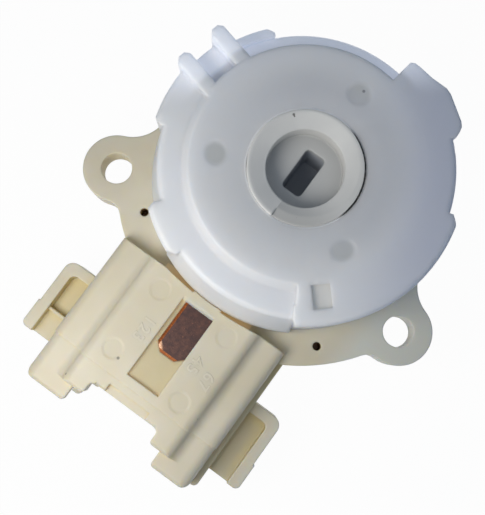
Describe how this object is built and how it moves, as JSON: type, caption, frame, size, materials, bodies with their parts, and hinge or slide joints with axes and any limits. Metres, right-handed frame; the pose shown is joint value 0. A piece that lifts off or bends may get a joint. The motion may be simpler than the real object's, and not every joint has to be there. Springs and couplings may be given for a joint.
{
  "type": "ignition switch",
  "caption": "Round ignition switch with a milky dished cover, a slotted turning hub, two fixing ears and a plug housing with blade terminals.",
  "frame": {"origin": "on the turning axis, in the plane of the case's underside", "axes": "+Z along the turning axis towards the key socket, -Y towards the plug housing's mouth, X across the ears"},
  "size_m": [0.0602, 0.0708, 0.026],
  "materials": {
    "ivory_plastic": "moulded ivory thermoplastic, satin",
    "milky_plastic": "milky translucent thermoplastic, satin",
    "grey_plastic": "warm grey-white thermoplastic",
    "brown_plastic": "brown insulating resin",
    "copper": "stamped copper, darkened",
    "silver": "silver contact rivets",
    "spring_steel": "drawn spring wire",
    "ball_steel": "ground steel ball"
  },
  "bodies": {
    "case": {"terminal_base": "ivory_plastic", "cover": "milky_plastic", "return_spring": "spring_steel", "terminal_battery_1": "copper", "terminal_accessory": "copper", "terminal_ignition_1": "copper", "terminal_starter_1": "copper", "terminal_battery_2": "copper", "terminal_ignition_2": "copper", "terminal_starter_2": "copper"},
    "rotor": {"rotor": "grey_plastic", "contact_carrier": "brown_plastic", "contact_spring_a": "spring_steel", "contact_spring_b": "spring_steel", "detent_spring_a": "spring_steel", "detent_spring_b": "spring_steel"},
    "bridge_a": {"bridge_a": "copper", "tips_a": "silver"},
    "bridge_b": {"bridge_b": "copper", "tips_b": "silver"},
    "detent_a": {"detent_ball_a": "ball_steel"},
    "detent_b": {"detent_ball_b": "ball_steel"}
  },
  "joints": [
    {"name": "key_turn", "type": "hinge", "parent": "case", "child": "rotor", "pos_m": [0, 0, 0.0145], "axis": [0, 0, -1], "range_deg": [0, 125], "deforming": ["return_spring"]},
    {"name": "bridge_a_lift", "type": "slide", "parent": "rotor", "child": "bridge_a", "axis": [0, 0, 1], "range_m": [0, 0.0005], "stiffness_N_per_m": 500, "springref_m": -0.001, "deforming": ["contact_spring_a"]},
    {"name": "bridge_b_lift", "type": "slide", "parent": "rotor", "child": "bridge_b", "axis": [0, 0, 1], "range_m": [0, 0.0005], "stiffness_N_per_m": 500, "springref_m": -0.001, "deforming": ["contact_spring_b"]},
    {"name": "detent_a_slide", "type": "slide", "parent": "rotor", "child": "detent_a", "axis": [0.342, 0.9397, 0], "range_m": [0, 0.0008], "stiffness_N_per_m": 500, "springref_m": 0.0008, "deforming": ["detent_spring_a"]},
    {"name": "detent_b_slide", "type": "slide", "parent": "rotor", "child": "detent_b", "axis": [-0.342, -0.9397, 0], "range_m": [0, 0.0008], "stiffness_N_per_m": 500, "springref_m": 0.0008, "deforming": ["detent_spring_b"]}
  ]
}
